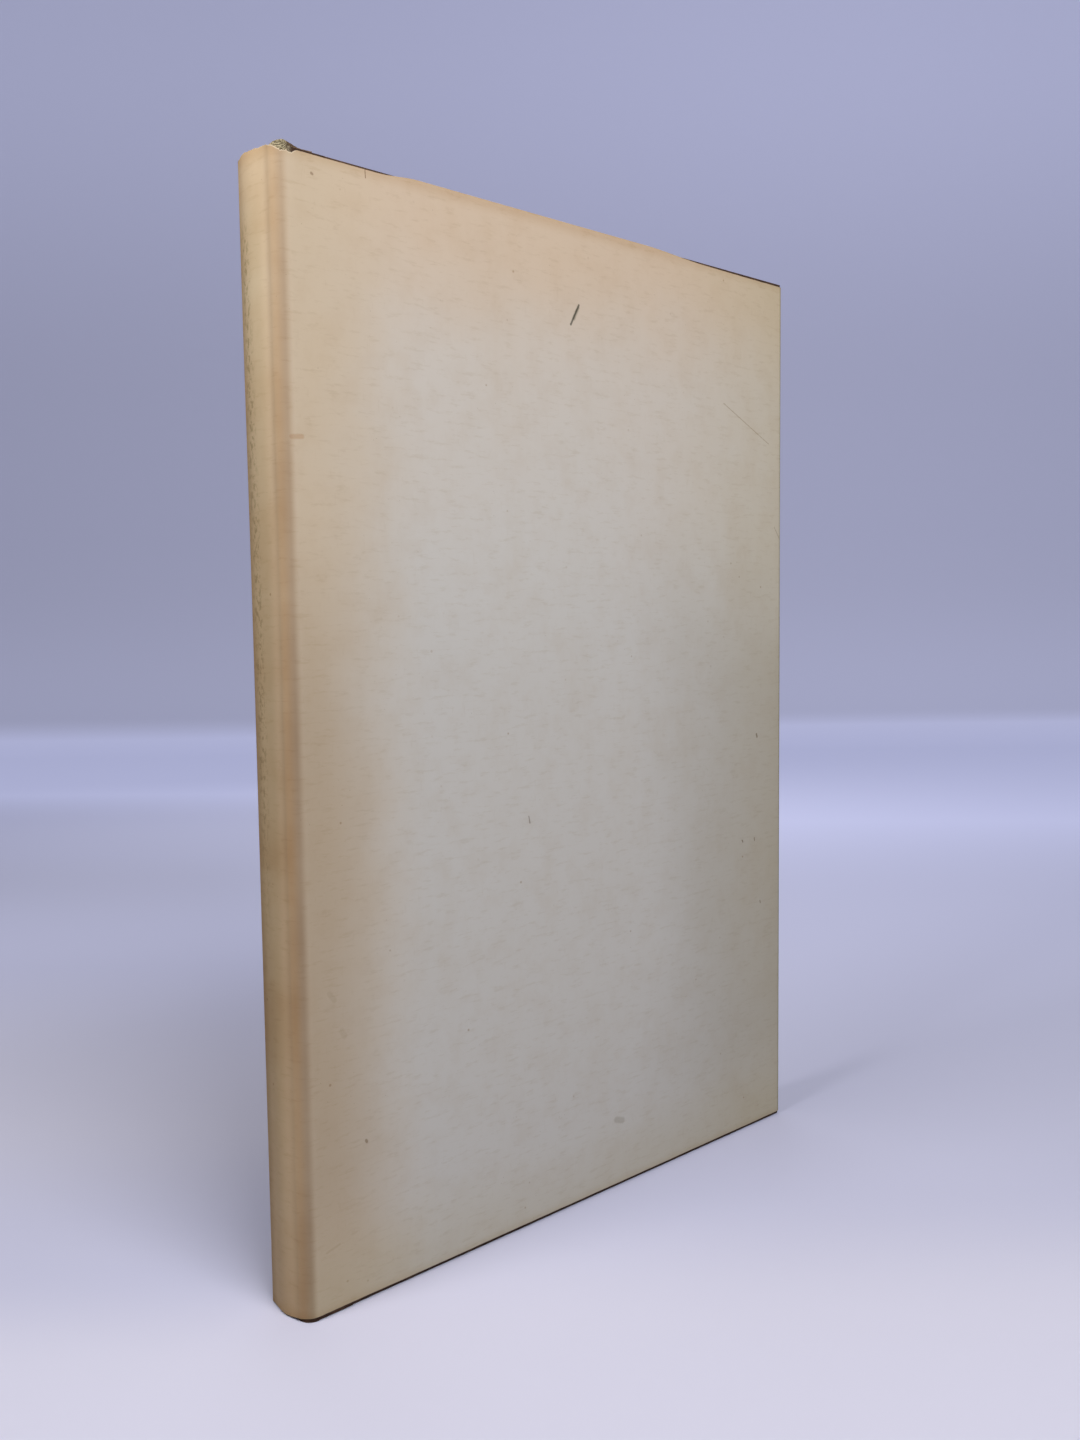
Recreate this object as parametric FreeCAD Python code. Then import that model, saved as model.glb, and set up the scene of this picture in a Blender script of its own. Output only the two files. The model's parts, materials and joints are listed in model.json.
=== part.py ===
import FreeCAD
import Part
import math
import os

# Slim case-bound book in a plain paper jacket, standing on its tail edge.
# The case is two boards and a spine board joined by one covering cloth, which dips into a
# shallow groove beside the spine and is turned in over the board edges with mitred corners.
# The text block hangs in the case on its folded endpapers and a gauze lining, with a woven
# band at each end of its spine. The jacket wraps the closed case and folds in at both fore
# edges. Its spine head is chipped, so that the cloth shows there.
# Both covers swing about a line in the groove, so cloth, gauze, endpapers and jacket are
# each divided there.
#
# Axes: X runs from spine to fore edge, Y from front cover to rear cover, Z from tail to head.
# The origin is the middle of the closed book at the level of its tail edge.
# All sizes are in millimetres. Side pieces are drawn for the rear cover and mirrored in Y
# for the front one.

Vector = FreeCAD.Vector

# Text block
leaf_width = 152.4
leaf_height = 228.6
block_thickness = 6.2
section_count = 8
section_round = 0.2
endpaper_thickness = 0.15

# Spine linings and bands
mull_thickness = 0.15
mull_inset = 13.0
mull_wing_width = 24.0
lining_thickness = 0.2
lining_inset = 2.0
band_radius = 0.6
band_tape = 0.15
band_set_in = 0.25
band_tongue = 8.0

# Case
board_thickness = 2.15
spine_board_thickness = 2.6
square = 3.2
groove_width = 6.5
hollow = 0.45
cloth_thickness = 0.35
turn_in = 15.0
mitre_gap = 0.15
mitre_start = 1.0
board_edge_radius = 0.2
spine_edge_radius = 0.3
spine_corner_radius = 2.3
groove_depth = 0.8
groove_bend = 0.45
head_cap_rise = 0.1
head_cap_bevel = 0.25

# Jacket
jacket_thickness = 0.2
jacket_slack = 0.1
flap_width = 84.0
flap_gap = 0.15
jacket_head_drop = 0.5
jacket_tail_lift = 0.9
spine_chip_reach = 3.6
spine_chip_depth = 0.5
cover_chip_reach = 5.4
cover_chip_depth = 0.95
rear_chip_reach = 2.4
rear_chip_depth = 0.45

# Joints
joint_clearance = 0.15
joint_inner_clearance = 0.6
joint_stand_off = 0.1

# Levels across the thickness, counted outwards from the middle of the book
y_block = block_thickness / 2
y_leaf = y_block + endpaper_thickness
y_gully = y_leaf + endpaper_thickness
y_flap = y_leaf + flap_gap
y_pastedown = y_flap + jacket_thickness
y_turn_in = y_pastedown + endpaper_thickness
y_board_in = y_turn_in + cloth_thickness
y_board_out = y_board_in + board_thickness
y_groove = y_board_out - groove_depth
y_cloth = y_board_out + cloth_thickness
y_jacket_in = y_cloth + jacket_slack
y_jacket = y_jacket_in + jacket_thickness
y_hinge = y_jacket + joint_stand_off

# Levels across the width, from the outside of the spine to the fore edge
total_width = (
    2 * (jacket_thickness + jacket_slack)
    + cloth_thickness
    + spine_board_thickness
    + hollow
    + lining_thickness
    + mull_thickness
    + leaf_width
    + square
)
x_jacket = -total_width / 2
x_jacket_in = x_jacket + jacket_thickness
x_cloth = x_jacket_in + jacket_slack
x_spine_board = x_cloth + cloth_thickness
x_spine_board_in = x_spine_board + spine_board_thickness
x_lining = x_spine_board_in + hollow
x_mull = x_lining + lining_thickness
x_block = x_mull + mull_thickness
x_block_fore = x_block + leaf_width
x_case_fore = x_block_fore + square
x_board_fore = x_case_fore - cloth_thickness
x_jacket_fore = x_case_fore + jacket_slack
x_board_edge = x_spine_board_in + groove_width
x_cover_edge = x_board_edge - cloth_thickness
x_hinge = x_cover_edge - joint_clearance
x_fixed_end = x_hinge - joint_clearance
x_inner_end = x_hinge - joint_inner_clearance
x_jacket_start = x_hinge + joint_clearance

# Levels up the height, from the tail
z_block_tail = square
z_block_head = z_block_tail + leaf_height
z_head = z_block_head + square
z_board_tail = cloth_thickness
z_board_head = z_head - cloth_thickness
z_jacket_tail = jacket_tail_lift
z_jacket_head = z_head - jacket_head_drop

cloth_edge_radius = board_edge_radius + cloth_thickness
cloth_spine_radius = spine_corner_radius + cloth_thickness
jacket_fold_radius = cloth_edge_radius + jacket_slack
jacket_spine_radius = cloth_spine_radius + jacket_slack


def corner_arc(before, corner, after, radius):
    """Start, middle and end of the arc that rounds one corner."""
    to_before = (before - corner).normalize()
    to_after = (after - corner).normalize()
    half_turn = to_before.getAngle(to_after) / 2
    bisector = (to_before + to_after).normalize()
    reach = radius / math.tan(half_turn)
    centre_distance = radius / math.sin(half_turn)
    middle = corner + bisector * (centre_distance - radius)
    return corner + to_before * reach, middle, corner + to_after * reach


def outline(corners):
    """Closed wire in the XY plane from (x, y, radius) corners."""
    points = [Vector(x, y, 0) for x, y, _ in corners]
    count = len(points)
    stops = []
    arcs = []
    for i, (_, _, radius) in enumerate(corners):
        if radius > 0:
            arc = corner_arc(points[i - 1], points[i], points[(i + 1) % count], radius)
            stops.append((arc[0], arc[2]))
            arcs.append(Part.Arc(*arc).toShape())
        else:
            stops.append((points[i], points[i]))
            arcs.append(None)
    edges = []
    for i in range(count):
        if arcs[i]:
            edges.append(arcs[i])
        leave = stops[i][1]
        reach = stops[(i + 1) % count][0]
        if leave.distanceToPoint(reach) > 1e-7:
            edges.append(Part.makeLine(leave, reach))
    return Part.Wire(edges)


def prism(corners, z_low, z_high):
    """Upright solid over a rounded outline."""
    face = Part.Face(outline(corners))
    face.translate(Vector(0, 0, z_low))
    return face.extrude(Vector(0, 0, z_high - z_low))


def slab(x_low, x_high, y_low, y_high, z_low, z_high):
    """Plain block between two opposite corners."""
    return Part.makeBox(
        x_high - x_low, y_high - y_low, z_high - z_low, Vector(x_low, y_low, z_low)
    )


def offset_point(before, corner, after, distance):
    """Where a path's corner lies once the path is moved to the right by a distance."""
    ahead = (after - corner).normalize() if after else (corner - before).normalize()
    behind = (corner - before).normalize() if before else ahead
    right_behind = Vector(behind.y, -behind.x, 0)
    right_ahead = Vector(ahead.y, -ahead.x, 0)
    mitre = right_behind + right_ahead
    return corner + mitre * (2 * distance / mitre.dot(mitre))


def turns_left(before, corner, after):
    """True where a path bends to the left at its corner."""
    return (corner - before).cross(after - corner).z > 0


def folded_sheet(path, thickness, z_low, z_high):
    """Upright sheet whose one face follows the (x, y, radius) path, with its thickness to
    the right of the path."""
    points = [Vector(x, y, 0) for x, y, _ in path]
    last = len(points) - 1
    far_side = []
    for i, (_, _, radius) in enumerate(path):
        before = points[i - 1] if i > 0 else None
        after = points[i + 1] if i < last else None
        moved = offset_point(before, points[i], after, thickness)
        if radius > 0:
            outward = turns_left(before, points[i], after)
            radius = radius + thickness if outward else radius - thickness
        far_side.append((moved.x, moved.y, radius))
    return prism(path + far_side[::-1], z_low, z_high)


def mirrored(shape):
    """The same piece on the front side."""
    return shape.mirror(Vector(0, 0, 0), Vector(0, 1, 0))


def both_sides(half_path):
    """A path from the rear side round the spine to the front side."""
    return half_path + [(x, -y, radius) for x, y, radius in half_path[::-1]]


def text_block():
    """Trimmed leaves, with the round folded backs of the sections along the spine."""
    step = block_thickness / section_count
    x_valley = x_block + section_round
    edges = []
    for i in range(section_count):
        y_low = -y_block + i * step
        fold = Part.Arc(
            Vector(x_valley, y_low, 0),
            Vector(x_block, y_low + step / 2, 0),
            Vector(x_valley, y_low + step, 0),
        )
        edges.append(fold.toShape())
    rear = [Vector(x_valley, y_block, 0), Vector(x_block_fore, y_block, 0)]
    front = [Vector(x_block_fore, -y_block, 0), Vector(x_valley, -y_block, 0)]
    trimmed = rear + front
    edges += [Part.makeLine(a, b) for a, b in zip(trimmed, trimmed[1:])]
    face = Part.Face(Part.Wire(edges))
    face.translate(Vector(0, 0, z_block_tail))
    return face.extrude(Vector(0, 0, leaf_height))


def endpaper():
    """Free leaf with its fold at the spine and the strip that lines the gully."""
    fold = endpaper_thickness / 2
    corners = [
        (x_block, y_block, 0),
        (x_block_fore, y_block, 0),
        (x_block_fore, y_leaf, 0),
        (x_inner_end, y_leaf, 0),
        (x_inner_end, y_gully, 0),
        (x_block, y_gully, fold),
    ]
    return prism(corners, z_block_tail, z_block_head)


def mull():
    """Gauze round the back of the text block, down both gullies."""
    path = both_sides([(x_inner_end, y_gully, 0), (x_block, y_gully, endpaper_thickness / 2)])
    return folded_sheet(
        path, mull_thickness, z_block_tail + mull_inset, z_block_head - mull_inset
    )


def mull_wing():
    """The gauze's wing, glued to the inside of the board."""
    return slab(
        x_board_edge,
        x_board_edge + mull_wing_width,
        y_board_in - mull_thickness,
        y_board_in,
        z_block_tail + mull_inset,
        z_block_head - mull_inset,
    )


def spine_lining():
    """Paper strip over the gauze on the back of the text block."""
    return slab(
        x_lining,
        x_mull,
        -y_block,
        y_block,
        z_block_tail + lining_inset,
        z_block_head - lining_inset,
    )


def spine_band(z_edge, direction):
    """Woven bead on one end of the block's spine, with the tape that holds it.
    The direction is 1 at the head and -1 at the tail."""
    z_bead = z_edge + direction * band_radius
    bead = Part.makeCylinder(
        band_radius,
        block_thickness,
        Vector(x_block + band_set_in, -y_block, z_bead),
        Vector(0, 1, 0),
    )
    tape_length = min(band_tongue, mull_inset)
    tape_ends = sorted([z_edge - direction * tape_length, z_bead])
    tape = slab(x_block - band_tape, x_block, -y_block, y_block, *tape_ends)
    return bead.fuse(tape).removeSplitter()


def spine_board():
    """Stiff strip behind the spine, with its outer edges rounded."""
    corners = [
        (x_spine_board, -y_board_out, spine_corner_radius),
        (x_spine_board_in, -y_board_out, spine_edge_radius),
        (x_spine_board_in, y_board_out, spine_edge_radius),
        (x_spine_board, y_board_out, spine_corner_radius),
    ]
    return prism(corners, z_board_tail, z_board_head)


def spine_cap(z_low, z_high):
    """Cloth folded over one end of the spine board."""
    x_high = x_spine_board_in + cloth_thickness
    shoulder = spine_edge_radius + cloth_thickness
    corners = [
        (x_cloth, -y_cloth, cloth_spine_radius),
        (x_high, -y_cloth, shoulder),
        (x_high, y_cloth, shoulder),
        (x_cloth, y_cloth, cloth_spine_radius),
    ]
    return prism(corners, z_low, z_high)


def spine_cloth():
    """Covering cloth over the spine board and down into both grooves, turned in at both
    ends. At the head it stands a little above the boards."""
    path = both_sides(
        [
            (x_inner_end, y_groove, 0),
            (x_spine_board_in, y_groove, groove_bend),
            (x_spine_board_in, y_board_out, spine_edge_radius),
            (x_spine_board, y_board_out, spine_corner_radius),
        ]
    )
    cover = folded_sheet(path, cloth_thickness, 0, z_head)
    tail_cap = spine_cap(0, z_board_tail)
    head_cap = spine_cap(z_board_head, z_head + head_cap_rise)
    rim = [e for e in head_cap.Edges if e.BoundBox.ZMin > z_head + head_cap_rise / 2]
    head_cap = head_cap.makeChamfer(head_cap_bevel, rim)
    x_low, x_high = x_spine_board_in, x_spine_board_in + cloth_thickness
    tail_turn_in = slab(x_low, x_high, -y_gully, y_gully, 0, turn_in)
    head_turn_in = slab(x_low, x_high, -y_gully, y_gully, z_head - turn_in, z_head)
    return cover.fuse([tail_cap, head_cap, tail_turn_in, head_turn_in]).removeSplitter()


def soft_slab(x_low, x_high, y_low, y_high, z_low, z_high, radius):
    """Plain block with the rims of its two broad faces rounded."""
    block = slab(x_low, x_high, y_low, y_high, z_low, z_high)
    across = [e for e in block.Edges if abs(e.tangentAt(0).y) > 0.5]
    rims = [e for e in block.Edges if not any(e.isSame(other) for other in across)]
    return block.makeFillet(radius, rims)


def cover_board():
    """Board of one cover."""
    return soft_slab(
        x_board_edge,
        x_board_fore,
        y_board_in,
        y_board_out,
        z_board_tail,
        z_board_head,
        board_edge_radius,
    )


def mitre_cut(z_corner, direction):
    """Hairline between the two turn-ins that meet at one corner of the board, from just
    inside the rounded edges. The direction is 1 at the tail corner and -1 at the head."""
    diagonal = math.sqrt(2)
    cut = slab(
        -(turn_in + mitre_gap) * diagonal,
        -mitre_start * diagonal,
        y_turn_in - cloth_thickness,
        y_board_in + board_thickness / 2,
        -mitre_gap / 2,
        mitre_gap / 2,
    )
    cut.rotate(Vector(0, 0, 0), Vector(0, 1, 0), direction * 45)
    cut.translate(Vector(x_case_fore, 0, z_corner))
    return cut


def cover_cloth():
    """Cloth over one board, round its edges and turned in on its inside."""
    shell = soft_slab(
        x_cover_edge, x_case_fore, y_turn_in, y_cloth, 0, z_head, cloth_edge_radius
    )
    bare_inside = slab(
        x_board_edge,
        x_case_fore - turn_in,
        y_turn_in,
        y_board_in,
        turn_in,
        z_head - turn_in,
    )
    return shell.cut([cover_board(), bare_inside, mitre_cut(0, 1), mitre_cut(z_head, -1)])


def draped_sheet(x_ends, z_ends, y_base, thickness, bumps):
    """Sheet glued over a flat face at y_base with raised strips on it. Each bump is
    (x_low, x_high, z_low, z_high, rise), and the sheet steps over it."""
    sheet = slab(*x_ends, y_base - thickness, y_base, *z_ends)
    for x_low, x_high, z_low, z_high, rise in bumps:
        step = slab(
            x_low - thickness,
            x_high + thickness,
            y_base - rise - thickness,
            y_base,
            z_low - thickness,
            z_high + thickness,
        )
        sheet = sheet.fuse(step)
    for x_low, x_high, z_low, z_high, rise in bumps:
        sheet = sheet.cut(slab(x_low, x_high, y_base - rise, y_base, z_low, z_high))
    deepest = max(rise for *_, rise in bumps) + thickness
    return sheet.common(slab(*x_ends, y_base - deepest, y_base, *z_ends)).removeSplitter()


def pastedown():
    """Endpaper glued to the inside of the board, stepping over the turned-in cloth and the
    gauze wing."""
    x_ends = (x_cover_edge, x_block_fore)
    z_ends = (z_block_tail, z_block_head)
    bumps = [
        (x_cover_edge, x_case_fore, 0, turn_in, cloth_thickness),
        (x_cover_edge, x_case_fore, z_head - turn_in, z_head, cloth_thickness),
        (x_case_fore - turn_in, x_case_fore, 0, z_head, cloth_thickness),
        (x_cover_edge - turn_in, x_board_edge, 0, z_head, cloth_thickness),
        (
            x_board_edge,
            x_board_edge + mull_wing_width,
            z_block_tail + mull_inset,
            z_block_head - mull_inset,
            mull_thickness,
        ),
    ]
    return draped_sheet(x_ends, z_ends, y_board_in, endpaper_thickness, bumps)


def jacket_side():
    """Jacket over one cover, round its fore edge and in as a flap."""
    path = [
        (x_jacket_fore - flap_width, y_pastedown, 0),
        (x_jacket_fore, y_pastedown, jacket_fold_radius),
        (x_jacket_fore, y_jacket_in, jacket_fold_radius),
        (x_jacket_start, y_jacket_in, 0),
    ]
    return folded_sheet(path, jacket_thickness, z_jacket_tail, z_jacket_head)


def chip(corner, reach_along, depth, point_at, place_end):
    """Piece torn from the head edge of the jacket on one face, as an upright wedge with a
    ragged lower edge. Each share is of the reach from the corner and of the depth."""
    ragged_edge = [(0, 0.8), (0.25, 1.0), (0.45, 0.75), (0.7, 0.9), (1.0, 0.0)]
    over = 2 * jacket_head_drop + head_cap_rise
    points = [point_at(corner + along * reach_along, z_jacket_head - down * depth)
              for along, down in ragged_edge]
    points.append(point_at(corner + reach_along, z_jacket_head + over))
    points.append(point_at(corner, z_jacket_head + over))
    face = Part.Face(Part.makePolygon(points + points[:1]))
    return face.extrude(place_end)


def jacket_spine():
    """Jacket over the spine and both grooves, chipped at the head of the spine."""
    path = both_sides(
        [(x_fixed_end, y_jacket_in, 0), (x_jacket_in, y_jacket_in, jacket_spine_radius)]
    )
    jacket = folded_sheet(path, jacket_thickness, z_jacket_tail, z_jacket_head)
    wall = jacket_spine_radius + jacket_thickness

    def on_front(along, z):
        return Vector(along, -y_jacket - jacket_slack, z)

    def on_spine(along, z):
        return Vector(x_jacket - jacket_slack, along, z)

    torn = [
        chip(x_jacket, cover_chip_reach, cover_chip_depth, on_front, Vector(0, wall, 0)),
        chip(-y_jacket, spine_chip_reach, spine_chip_depth, on_spine, Vector(wall, 0, 0)),
        chip(y_jacket, -rear_chip_reach, rear_chip_depth, on_spine, Vector(wall, 0, 0)),
    ]
    return jacket.cut(torn)


def pieces():
    """Every node's name and solid."""
    rear_side = {
        "board": cover_board(),
        "cloth": cover_cloth(),
        "mull_wing": mull_wing(),
        "pastedown": pastedown(),
        "jacket": jacket_side(),
        "endpaper": endpaper(),
    }
    made = {
        "text_block": text_block(),
        "mull": mull(),
        "spine_lining": spine_lining(),
        "head_band": spine_band(z_block_head, 1),
        "tail_band": spine_band(z_block_tail, -1),
        "spine_board": spine_board(),
        "spine_cloth": spine_cloth(),
        "jacket_spine": jacket_spine(),
    }
    for name, solid in rear_side.items():
        made["rear_" + name] = solid
        made["front_" + name] = mirrored(solid)
    return made


def main():
    os.makedirs("parts", exist_ok=True)
    for name, solid in pieces().items():
        solid.exportStep(f"parts/{name}.step")
        box = solid.BoundBox
        print(
            f"{name:18} solids {len(solid.Solids)} valid {solid.isValid()} volume {solid.Volume:10.2f}"
            f"  x {box.XMin:8.2f} {box.XMax:8.2f}  y {box.YMin:7.2f} {box.YMax:7.2f}"
            f"  z {box.ZMin:7.2f} {box.ZMax:7.2f}"
        )
    print(f"hinge lines at x {x_hinge:.3f}, y {y_hinge:.3f} and {-y_hinge:.3f}")


main()
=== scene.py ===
"""The looks of a slim case-bound book in a plain, toned paper jacket.

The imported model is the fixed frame. New surfaces are laid on it for the jacket, the leaves'
edges, the woven bands, the worn cloth at the spine head and the sheets that cross the joints.
Every size is in metres.
"""

import json
import math

import bpy
import numpy as np
from mathutils import Matrix, Vector


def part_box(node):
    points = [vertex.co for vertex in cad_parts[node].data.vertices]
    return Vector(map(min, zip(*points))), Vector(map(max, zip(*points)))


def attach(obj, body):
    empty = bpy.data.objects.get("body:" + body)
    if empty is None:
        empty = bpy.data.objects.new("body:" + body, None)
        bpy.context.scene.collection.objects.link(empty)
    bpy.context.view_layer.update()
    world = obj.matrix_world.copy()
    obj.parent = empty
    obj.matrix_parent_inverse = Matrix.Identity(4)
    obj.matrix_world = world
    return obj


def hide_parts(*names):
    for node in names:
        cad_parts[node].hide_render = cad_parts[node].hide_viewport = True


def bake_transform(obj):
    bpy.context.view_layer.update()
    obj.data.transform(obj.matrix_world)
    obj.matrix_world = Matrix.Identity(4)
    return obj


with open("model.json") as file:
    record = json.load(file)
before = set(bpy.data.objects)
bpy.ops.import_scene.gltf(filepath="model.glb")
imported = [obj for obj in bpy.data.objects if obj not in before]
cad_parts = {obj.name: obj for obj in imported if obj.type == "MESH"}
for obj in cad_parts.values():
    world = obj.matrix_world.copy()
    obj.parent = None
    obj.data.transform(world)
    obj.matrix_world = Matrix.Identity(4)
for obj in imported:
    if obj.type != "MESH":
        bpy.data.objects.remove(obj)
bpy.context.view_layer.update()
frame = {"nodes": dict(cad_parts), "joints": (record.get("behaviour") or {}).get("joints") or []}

bl_info = {
    "name": "Jacketed Book",
    "version": (1, 0, 0),
    "blender": (4, 5, 0),
    "location": "3D View > Sidebar > Book",
    "description": "Dresses a case-bound book with its jacket, leaves, bands and finishes",
    "category": "Object",
}

MM = 0.001

# Places that come from the frame
JACKET_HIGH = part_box("front_jacket")[1]
SPINE_LOW, SPINE_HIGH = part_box("jacket_spine")
BLOCK_LOW, BLOCK_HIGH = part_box("text_block")
CLOTH_LOW, CLOTH_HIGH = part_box("front_cloth")
PASTEDOWN_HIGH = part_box("front_pastedown")[1]
LEAF_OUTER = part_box("rear_endpaper")[1].y
X_HINGE = frame["joints"][0]["pos_m"][0]
X_SPINE = SPINE_LOW.x
X_FORE = JACKET_HIGH.x
Y_FACE = SPINE_HIGH.y
Y_FLAP = -JACKET_HIGH.y
Z_HEAD = CLOTH_HIGH.z

# Jacket
SPINE_RADIUS = 2.95 * MM
REAR_RADIUS = 0.8 * MM
FOLD_RADIUS = 1.0 * MM
JACKET_THICKNESS = 0.2 * MM
FLAP_WIDTH = 84.3 * MM
REAR_SEAM = X_SPINE + 2.6 * MM
CREASE_START = X_HINGE - 0.06 * MM
CREASE_END = X_HINGE + 0.05 * MM
HEAD_DROP = 0.64 * MM
TAIL_LIFT = 1.0 * MM
TAIL_SAG = 0.64 * MM
TORN_REACH = 0.35 * MM

# Spacing of the jacket's points
JACKET_ROWS = 120
FINE, FOLD, MEDIUM, COARSE = 0.12 * MM, 0.2 * MM, 0.8 * MM, 1.7 * MM
CREASE = (CREASE_END - CREASE_START) / 14

# Distance along the jacket is counted from the front corner of the spine, as if it were
# sharp, so that a place on the front cover lies as far along as it is from the spine's face.
CORNER_SAVED = (2 - math.pi / 2) * (SPINE_RADIUS + REAR_RADIUS) / 2
SPINE_MIDDLE = CORNER_SAVED - Y_FACE
REAR_EDGE = 2 * SPINE_MIDDLE + 2.8 * MM
COVER_WIDTH = X_FORE - X_SPINE

# Spine head, as distances along the jacket
CHIP_MIDDLE = 1.9 * MM
REAR_CHIP_MIDDLE = -11.3 * MM

GAUZE_PITCH = 0.9 * MM
FILM_SIDE = 36


def smooth(value, low, high):
    """Rises from 0 at low to 1 at high, level at both ends: 3t^2 - 2t^3."""
    t = np.clip((value - low) / (high - low), 0, 1)
    return t * t * (3 - 2 * t)


def hump(value, centre, reach):
    """A soft bump, 1 at the centre and 0 at the reach on either side."""
    return 1 - smooth(np.abs(value - centre), 0, reach)


def waves(places, periods, phases):
    """A mean of sine waves with unlike periods, between -1 and 1."""
    turns = [
        np.sin(2 * math.pi * places / period + phase)
        for period, phase in zip(periods, phases)
    ]
    return sum(turns) / len(turns)


def spine_distance(along):
    """How far a place along the jacket is from the spine's face, alike on both covers."""
    return abs(along - SPINE_MIDDLE) + SPINE_MIDDLE


def outward(points, faces):
    """True if the closed mesh holds a positive volume, summed from its corner triangles."""
    corners = points[faces]
    volume = 0
    for a, b in ((1, 2), (2, 3)):
        cross = np.cross(corners[:, a], corners[:, b])
        volume += (corners[:, 0] * cross).sum()
    return volume > 0


def add_object(name, data):
    """Object that carries the data, put into the scene."""
    made = bpy.data.objects.new(name, data)
    bpy.context.scene.collection.objects.link(made)
    return made


def solid(name, points, faces, places=None, sharp_angle=40):
    """Mesh object from points and four-cornered faces, turned so that its faces point out.
    Places give each point its two coordinates along the sheet, kept as a UV map."""
    points = points.reshape(-1, 3)
    faces = faces.reshape(-1, 4)
    if not outward(points, faces):
        faces = faces[:, ::-1]
    mesh = bpy.data.meshes.new(name)
    mesh.vertices.add(len(points))
    mesh.vertices.foreach_set("co", points.astype(np.float32).ravel())
    mesh.loops.add(faces.size)
    mesh.loops.foreach_set("vertex_index", faces.astype(np.int32).ravel())
    mesh.polygons.add(len(faces))
    mesh.polygons.foreach_set("loop_start", np.arange(0, faces.size, 4, dtype=np.int32))
    mesh.update(calc_edges=True)
    if places is not None:
        uv = mesh.uv_layers.new(name="sheet")
        uv.data.foreach_set(
            "uv", places.reshape(-1, 2)[faces.ravel()].astype(np.float32).ravel()
        )
    mesh.validate()
    mesh.shade_smooth()
    mesh.set_sharp_from_angle(angle=math.radians(sharp_angle))
    return add_object(name, mesh)


def tube_faces(count, around):
    """Faces between rings of points that close on themselves, and a cap on both ends whose
    faces join the points that lie opposite each other."""
    ring = np.arange(count - 1)[:, None] * around
    step = np.arange(around)[None, :]
    following = (step + 1) % around
    walls = np.stack(
        [ring + step, ring + following, ring + around + following, ring + around + step],
        axis=-1,
    ).reshape(-1, 4)
    half = np.arange(around // 2 - 1)
    cap = np.stack([half, half + 1, around - 2 - half, around - 1 - half], axis=-1)
    return np.concatenate([walls, cap[:, ::-1], cap + (count - 1) * around])


def rounded_path(corners):
    """Points, right-hand normals and running length of a path through (x, y, radius,
    spacing) corners. Each bend is an arc of its radius, and the spacing is that of the
    points on the straight that follows, or in the bend."""
    spots = np.array([[x, y] for x, y, _, _ in corners])
    points, normals = [], []
    leave = spots[0]
    for i, (_, _, radius, spacing) in enumerate(corners):
        if i == 0:
            continue
        heading = spots[i] - spots[i - 1]
        heading = heading / np.linalg.norm(heading)
        right = np.array([heading[1], -heading[0]])
        bend, reach = 0.0, 0.0
        if radius > 0:
            ahead = spots[i + 1] - spots[i]
            ahead = ahead / np.linalg.norm(ahead)
            cross = heading[0] * ahead[1] - heading[1] * ahead[0]
            bend = math.atan2(cross, heading @ ahead)
            reach = radius * math.tan(abs(bend) / 2)
        arrive = spots[i] - heading * reach
        span = np.linalg.norm(arrive - leave)
        count = max(1, math.ceil(span / corners[i - 1][3]))
        share = np.arange(count)[:, None] / count
        points.append(leave + (arrive - leave) * share)
        normals.append(np.repeat(right[None], count, axis=0))
        leave = arrive
        if radius > 0:
            side = math.copysign(1, bend)
            centre = arrive - right * radius * side
            count = max(6, math.ceil(radius * abs(bend) / spacing))
            turn = bend * np.arange(count) / count
            cos, sin = np.cos(turn), np.sin(turn)
            turned = np.stack(
                [right[0] * cos - right[1] * sin, right[0] * sin + right[1] * cos], axis=-1
            )
            points.append(centre + turned * radius * side)
            normals.append(turned)
            leave = spots[i] + ahead * reach
    points.append(leave[None])
    normals.append(right[None])
    points = np.concatenate(points)
    steps = np.linalg.norm(np.diff(points, axis=0), axis=1)
    return points, np.concatenate(normals), np.concatenate([[0], np.cumsum(steps)])


def sheet_solid(name, path, thickness, low, high, rows, along, relief=None):
    """Closed thin sheet whose outer face follows the path. Row j of column i stands at
    low + (high - low) * rows[j], moved out along the path's normal by the relief."""
    points, normals, _ = path
    height = low[:, None] + (high - low)[:, None] * rows[None, :]
    out = np.zeros_like(height) if relief is None else relief(along[:, None], height)
    sides = []
    for depth in (0, thickness):
        side = np.empty((*height.shape, 3))
        side[..., :2] = points[:, None] + normals[:, None] * (out - depth)[..., None]
        side[..., 2] = height
        sides.append(side)
    rings = np.concatenate([sides[0], sides[1][:, ::-1]], axis=1)
    place = np.stack([np.broadcast_to(along[:, None], height.shape), height], axis=-1)
    places = np.concatenate([place, place[:, ::-1]], axis=1)
    return solid(name, rings, tube_faces(len(points), 2 * len(rows)), places)


def end_weighted_rows(count):
    """Shares from 0 to 1, closer together towards both ends: half of 1 - cos."""
    return (1 - np.cos(np.linspace(0, math.pi, count))) / 2


def mirrored(corners):
    """The same corners on the book's other side."""
    return [(x, -y, radius, spacing) for x, y, radius, spacing in corners]


class Amount:
    """A value or colour inside a material. Python's operators on it add Math nodes."""

    def __init__(self, finish, socket):
        self.finish = finish
        self.socket = socket

    def __add__(self, other):
        return self.finish.math("ADD", self, other)

    def __radd__(self, other):
        return self.finish.math("ADD", other, self)

    def __sub__(self, other):
        return self.finish.math("SUBTRACT", self, other)

    def __rsub__(self, other):
        return self.finish.math("SUBTRACT", other, self)

    def __mul__(self, other):
        return self.finish.math("MULTIPLY", self, other)

    def __rmul__(self, other):
        return self.finish.math("MULTIPLY", other, self)

    def __abs__(self):
        return self.finish.math("ABSOLUTE", self)


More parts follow.
